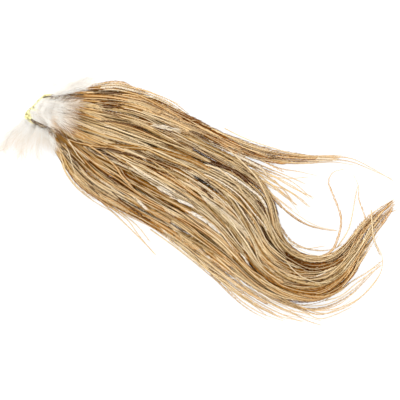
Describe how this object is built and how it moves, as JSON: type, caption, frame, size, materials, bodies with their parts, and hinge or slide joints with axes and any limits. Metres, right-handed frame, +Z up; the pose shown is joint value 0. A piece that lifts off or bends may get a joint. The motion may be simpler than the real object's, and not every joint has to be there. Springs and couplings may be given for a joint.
{
  "type": "rooster saddle hackle",
  "caption": "Patch of dried skin with long ginger saddle feathers swept into a hook and white down at its root, lying flat.",
  "frame": {"origin": "on the flat underside of the skin patch, behind the middle of its front rim", "axes": "+X from the skin towards the feather tips, +Y towards the thin wisp's side, +Z up from the surface it lies on"},
  "size_m": [0.2482, 0.1592, 0.0103],
  "materials": {
    "dried_skin": "dry, faintly waxy pale yellow skin",
    "ginger_feather": "satin ginger to cream vanes with a darker quill",
    "white_down": "matt off-white fluff"
  },
  "bodies": {
    "root": {"skin_patch": "dried_skin", "feather_01": "ginger_feather", "feather_02": "ginger_feather", "feather_03": "ginger_feather", "feather_04": "ginger_feather", "feather_05": "ginger_feather", "feather_06": "ginger_feather", "feather_07": "ginger_feather", "feather_08": "ginger_feather", "feather_09": "ginger_feather", "feather_10": "ginger_feather", "feather_11": "ginger_feather", "feather_12": "ginger_feather", "feather_13": "ginger_feather", "feather_14": "ginger_feather", "feather_15": "ginger_feather", "feather_16": "ginger_feather", "feather_17": "ginger_feather", "feather_18": "ginger_feather", "feather_19": "ginger_feather", "feather_20": "ginger_feather", "feather_21": "ginger_feather", "feather_22": "ginger_feather", "feather_23": "ginger_feather", "feather_24": "ginger_feather", "feather_25": "ginger_feather", "feather_26": "ginger_feather", "feather_27": "ginger_feather", "feather_28": "ginger_feather", "feather_29": "ginger_feather", "feather_30": "ginger_feather", "feather_31": "ginger_feather", "feather_32": "ginger_feather", "feather_33": "ginger_feather", "feather_34": "ginger_feather", "feather_35": "ginger_feather", "feather_36": "ginger_feather", "feather_37": "ginger_feather", "feather_38": "ginger_feather", "feather_39": "ginger_feather", "feather_40": "ginger_feather", "feather_41": "ginger_feather", "feather_42": "ginger_feather", "feather_43": "ginger_feather", "feather_44": "ginger_feather", "feather_45": "ginger_feather", "feather_46": "ginger_feather", "feather_47": "ginger_feather", "feather_48": "ginger_feather", "feather_49": "ginger_feather", "feather_50": "ginger_feather", "feather_51": "ginger_feather", "down_feather_1": "white_down", "down_feather_2": "white_down", "down_feather_3": "white_down", "down_feather_4": "white_down", "down_feather_5": "white_down", "down_feather_6": "white_down", "down_feather_7": "white_down"}
  },
  "joints": []
}
